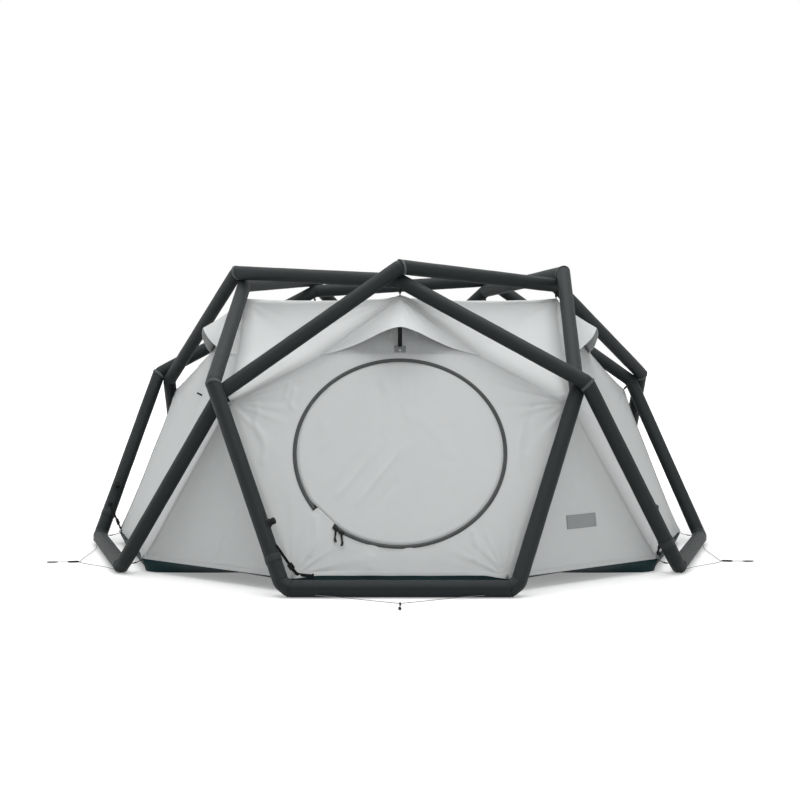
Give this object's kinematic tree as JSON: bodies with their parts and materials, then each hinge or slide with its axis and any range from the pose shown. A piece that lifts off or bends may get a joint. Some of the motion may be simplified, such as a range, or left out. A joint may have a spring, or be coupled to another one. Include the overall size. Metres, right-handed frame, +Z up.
{
  "type": "inflatable tent",
  "caption": "Geodesic dome tent: woven air tubes outside, a faceted fly hung inside them, a round zip door, vent hoods and slack guy lines.",
  "frame": {"origin": "middle of the groundsheet's underside, on the ground", "axes": "+Z up; the round door faces -Y; +X is to the right of someone who faces the door from outside"},
  "size_m": [3.1913, 3.1114, 1.3522],
  "materials": {
    "tube_cloth": "matte charcoal woven polyester sleeve",
    "bladder_film": "translucent welded film, hidden inside the sleeve",
    "fly_cloth": "pale grey coated ripstop, slight sheen",
    "hood_cloth": "pale grey coated ripstop",
    "tray_cloth": "dark petrol coated cloth, semi-gloss",
    "zip_tape": "grey coated zip tape",
    "black_plastic": "black moulded plastic",
    "webbing": "black woven webbing",
    "pale_line": "pale grey braided cord"
  },
  "bodies": {
    "tent": {"frame_sleeve_1": "tube_cloth", "frame_sleeve_2": "tube_cloth", "frame_sleeve_3": "tube_cloth", "frame_sleeve_4": "tube_cloth", "frame_sleeve_5": "tube_cloth", "air_bladder_1": "bladder_film", "air_bladder_2": "bladder_film", "air_bladder_3": "bladder_film", "air_bladder_4": "bladder_film", "air_bladder_5": "bladder_film", "fly_roof": "fly_cloth", "fly_panel_front": "fly_cloth", "fly_panel_right": "fly_cloth", "fly_panel_back_right": "fly_cloth", "fly_panel_back_left": "fly_cloth", "fly_panel_left": "fly_cloth", "fly_corner_1": "fly_cloth", "fly_corner_2": "fly_cloth", "fly_corner_3": "fly_cloth", "fly_corner_4": "fly_cloth", "fly_corner_5": "fly_cloth", "groundsheet": "tray_cloth", "door_zip_tape": "zip_tape", "vent_hood_front": "hood_cloth", "vent_hood_right": "hood_cloth", "vent_hood_left": "hood_cloth", "top_hanger_1": "webbing", "top_hanger_2": "webbing", "top_hanger_3": "webbing", "top_hanger_4": "webbing", "top_hanger_5": "webbing", "mid_hanger_1": "webbing", "mid_hanger_2": "webbing", "mid_hanger_3": "webbing", "mid_hanger_4": "webbing", "mid_hanger_5": "webbing", "corner_strap_1": "webbing", "corner_strap_2": "webbing", "corner_strap_3": "webbing", "corner_strap_4": "webbing", "corner_strap_5": "webbing", "guy_line_front": "pale_line", "guy_line_left": "pale_line", "guy_line_right": "pale_line", "guy_tail_front": "webbing", "guy_tail_left": "webbing", "guy_tail_right": "webbing"},
    "door": {"door_leaf": "fly_cloth"},
    "lead_slider": {"zip_slider_lead": "black_plastic"},
    "rear_slider": {"zip_slider_rear": "black_plastic"},
    "lead_pull": {"zip_pull_lead": "black_plastic"},
    "rear_pull": {"zip_pull_rear": "black_plastic"},
    "front_prop": {"vent_prop_front": "black_plastic"},
    "right_prop": {"vent_prop_right": "black_plastic"},
    "left_prop": {"vent_prop_left": "black_plastic"},
    "valve_1": {"valve_cap_1": "black_plastic"},
    "valve_2": {"valve_cap_2": "black_plastic"},
    "valve_3": {"valve_cap_3": "black_plastic"},
    "valve_4": {"valve_cap_4": "black_plastic"},
    "valve_5": {"valve_cap_5": "black_plastic"}
  },
  "joints": [
    {"name": "door_swing", "type": "hinge", "parent": "tent", "child": "door", "pos_m": [-0.29871, -1.20169, 0.29401], "axis": [0.7122, -0.3009, -0.6343], "range_deg": [0, 90]},
    {"name": "lead_slider_travel", "type": "hinge", "parent": "tent", "child": "lead_slider", "pos_m": [0, -1.08016, 0.54671], "axis": [0, -0.9035, 0.4286], "range_deg": [0, 322]},
    {"name": "rear_slider_travel", "type": "hinge", "parent": "tent", "child": "rear_slider", "pos_m": [0, -1.08016, 0.54671], "axis": [0, -0.9035, 0.4286], "range_deg": [0, 322]},
    {"name": "lead_pull_swing", "type": "hinge", "parent": "lead_slider", "child": "lead_pull", "pos_m": [-0.23636, -1.24223, 0.22723], "axis": [-1, 0, 0], "range_deg": [0, 100]},
    {"name": "rear_pull_swing", "type": "hinge", "parent": "rear_slider", "child": "rear_pull", "pos_m": [-0.25874, -1.23537, 0.24168], "axis": [-1, 0, 0], "range_deg": [0, 100]},
    {"name": "front_prop_fold", "type": "hinge", "parent": "tent", "child": "front_prop", "pos_m": [0, -0.87897, 0.97812], "axis": [-1, 0, 0], "range_deg": [0, 64]},
    {"name": "right_prop_fold", "type": "hinge", "parent": "tent", "child": "right_prop", "pos_m": [0.83595, -0.27162, 0.97812], "axis": [-0.309, -0.9511, 0], "range_deg": [0, 64]},
    {"name": "left_prop_fold", "type": "hinge", "parent": "tent", "child": "left_prop", "pos_m": [-0.83595, -0.27162, 0.97812], "axis": [-0.309, 0.9511, 0], "range_deg": [0, 64]},
    {"name": "valve_1_turn", "type": "hinge", "parent": "tent", "child": "valve_1", "pos_m": [-0.52134, -1.31242, 0.2797], "axis": [0.8911, -0.1616, 0.4241], "range_deg": [0, 360]},
    {"name": "valve_2_turn", "type": "hinge", "parent": "tent", "child": "valve_2", "pos_m": [1.08708, -0.90138, 0.2797], "axis": [0.4291, 0.7975, 0.4241], "range_deg": [0, 360]},
    {"name": "valve_3_turn", "type": "hinge", "parent": "tent", "child": "valve_3", "pos_m": [1.19319, 0.75533, 0.2797], "axis": [-0.6259, 0.6545, 0.4241], "range_deg": [0, 360]},
    {"name": "valve_4_turn", "type": "hinge", "parent": "tent", "child": "valve_4", "pos_m": [-0.34965, 1.3682, 0.2797], "axis": [-0.8159, -0.393, 0.4241], "range_deg": [0, 360]},
    {"name": "valve_5_turn", "type": "hinge", "parent": "tent", "child": "valve_5", "pos_m": [-1.40929, 0.09026, 0.2797], "axis": [0.1216, -0.8974, 0.4241], "range_deg": [0, 360]}
  ],
  "couplings": [
    {"joint": "rear_slider_travel", "follows": "lead_slider_travel", "ratio": 1}
  ]
}
